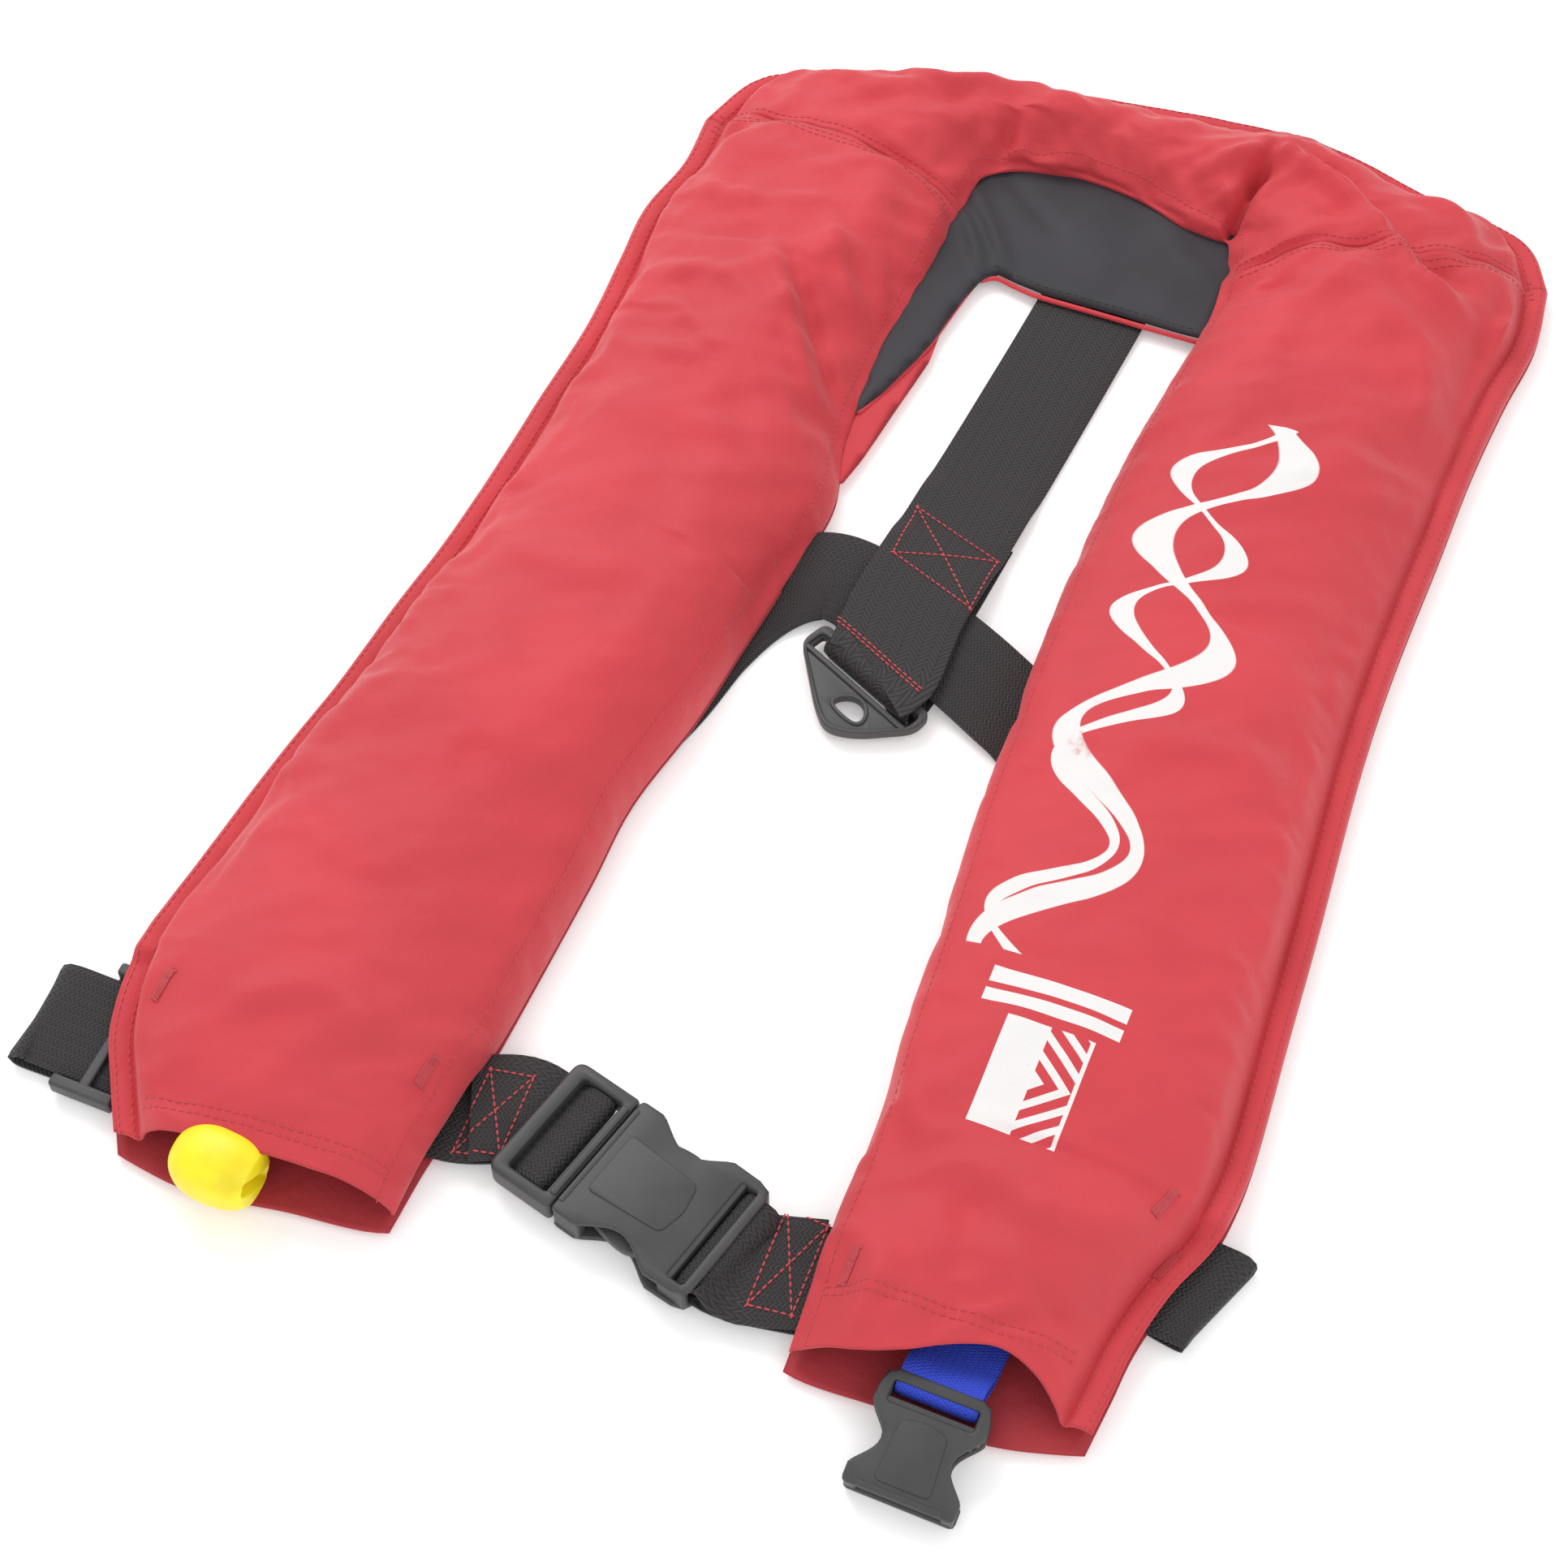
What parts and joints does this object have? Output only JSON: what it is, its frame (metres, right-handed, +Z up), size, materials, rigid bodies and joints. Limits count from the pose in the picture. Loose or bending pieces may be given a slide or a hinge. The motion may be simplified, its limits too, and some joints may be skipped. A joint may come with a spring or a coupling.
{
  "type": "inflatable life jacket",
  "caption": "Horseshoe inflatable life jacket laid flat: fabric cover over a folded gas bladder, waist belt with side-release buckle, back strap and crotch-strap buckle.",
  "frame": {"origin": "middle of the jacket's footprint, on the surface it lies on, wearer's side down", "axes": "+Z up, out of the jacket's front; +Y towards the neck; +X towards the wearer's left"},
  "size_m": [0.4218, 0.6318, 0.043],
  "materials": {
    "red_cover": "satin twill nylon",
    "cover_lining": "matt nylon",
    "closure_tape": "hook and loop pile",
    "collar_lining": "smooth neoprene",
    "bladder_film": "coated film",
    "yellow_plastic": "satin moulding",
    "pull_cord": "braided cord",
    "black_rubber": "matt",
    "steel": "zinc plated",
    "green_plastic": "satin moulding",
    "red_plastic": "satin moulding",
    "black_webbing": "woven webbing",
    "dark_plastic": "moulded, fine texture",
    "blue_webbing": "woven webbing"
  },
  "bodies": {
    "root": {"cover_front_left": "red_cover", "cover_front_yoke": "red_cover", "cover_front_right": "red_cover", "edge_flap_left": "red_cover", "edge_flap_right": "red_cover", "cover_back_left": "cover_lining", "cover_back_right": "cover_lining", "cover_back_yoke": "cover_lining", "closure_loop_tape_left": "closure_tape", "closure_hook_tape_left": "closure_tape", "closure_loop_tape_right": "closure_tape", "closure_hook_tape_right": "closure_tape", "collar_lining": "collar_lining", "bladder": "bladder_film", "inflator_body": "yellow_plastic", "whistle_cord": "pull_cord", "bladder_valve_stem": "black_rubber", "inflator_cap_nut": "black_rubber", "cylinder_gasket": "black_rubber", "oral_flange": "black_rubber", "oral_tube": "black_rubber", "lever_pivot_pin": "steel", "status_clip": "green_plastic", "oral_valve": "red_plastic", "back_strap": "black_webbing", "waist_belt_back": "black_webbing", "belt_loop_left": "black_webbing", "belt_loop_right": "black_webbing", "crotch_strap_loop": "blue_webbing"},
    "buckle_half_male": {"buckle_male": "dark_plastic", "front_tab_left": "black_webbing"},
    "buckle_half_female": {"buckle_female": "dark_plastic", "front_tab_right": "black_webbing"},
    "prong_upper": {"buckle_prong_upper": "dark_plastic"},
    "prong_lower": {"buckle_prong_lower": "dark_plastic"},
    "crotch_buckle": {"crotch_buckle": "dark_plastic"},
    "ring": {"back_ring": "dark_plastic"},
    "pull": {"pull_handle": "yellow_plastic", "pull_lanyard": "pull_cord"},
    "lever": {"inflator_lever": "yellow_plastic"},
    "pin": {"piercing_pin": "steel"},
    "cylinder": {"gas_cylinder": "steel"},
    "cap": {"oral_cap": "yellow_plastic"},
    "whistle": {"whistle": "yellow_plastic"},
    "adjuster": {"belt_adjuster": "dark_plastic"}
  },
  "joints": [
    {"name": "buckle_release", "type": "slide", "parent": "root", "child": "buckle_half_male", "axis": [-0.9703, 0.2419, 0], "range_m": [0, 0.022]},
    {"name": "buckle_release_female", "type": "slide", "parent": "root", "child": "buckle_half_female", "axis": [0.9703, -0.2419, 0], "range_m": [0, 0.014]},
    {"name": "prong_upper_squeeze", "type": "hinge", "parent": "buckle_half_male", "child": "prong_upper", "pos_m": [0.00306, -0.23217, 0.009], "axis": [0, 0, -1], "range_deg": [0, 10.5]},
    {"name": "prong_lower_squeeze", "type": "hinge", "parent": "buckle_half_male", "child": "prong_lower", "pos_m": [-0.00323, -0.25739, 0.009], "axis": [0, 0, 1], "range_deg": [0, 10.5]},
    {"name": "crotch_buckle_swing", "type": "hinge", "parent": "root", "child": "crotch_buckle", "pos_m": [0.13157, -0.27779, 0.01191], "axis": [-1, 0, 0], "range_deg": [0, 60]},
    {"name": "back_ring_swing", "type": "hinge", "parent": "root", "child": "ring", "pos_m": [0.00549, -0.01716, 0.005], "axis": [-0.9063, 0.4226, 0], "range_deg": [0, 60]},
    {"name": "handle_pull", "type": "slide", "parent": "root", "child": "pull", "axis": [0, -1, 0], "range_m": [0, 0.035]},
    {"name": "lever_turn", "type": "hinge", "parent": "root", "child": "lever", "pos_m": [-0.12493, -0.23907, 0.0223], "axis": [0, 0, -1], "range_deg": [0, 90]},
    {"name": "pin_thrust", "type": "slide", "parent": "root", "child": "pin", "axis": [0, 1, 0], "range_m": [0, 0.003]},
    {"name": "gas_cylinder_turn", "type": "hinge", "parent": "root", "child": "cylinder", "pos_m": [-0.13493, -0.15107, 0.0223], "axis": [0, 1, 0], "continuous": true},
    {"name": "oral_cap_lift", "type": "slide", "parent": "root", "child": "cap", "axis": [0, 1, 0], "range_m": [0, 0.012]},
    {"name": "whistle_swing", "type": "hinge", "parent": "root", "child": "whistle", "pos_m": [0.09807, -0.02107, 0.0287], "axis": [0, 0, 1], "range_deg": [0, 6]},
    {"name": "adjuster_slide", "type": "slide", "parent": "root", "child": "adjuster", "axis": [-1, 0, 0], "range_m": [-0.003, 0.01]}
  ],
  "couplings": [
    {"joint": "buckle_release_female", "follows": "buckle_release", "ratio": 0.6364},
    {"joint": "prong_upper_squeeze", "follows": "buckle_release", "rad_per_m": 7.93},
    {"joint": "prong_lower_squeeze", "follows": "buckle_release", "rad_per_m": 7.93},
    {"joint": "lever_turn", "follows": "handle_pull", "rad_per_m": 44.8},
    {"joint": "pin_thrust", "follows": "handle_pull", "ratio": 0.0857}
  ]
}
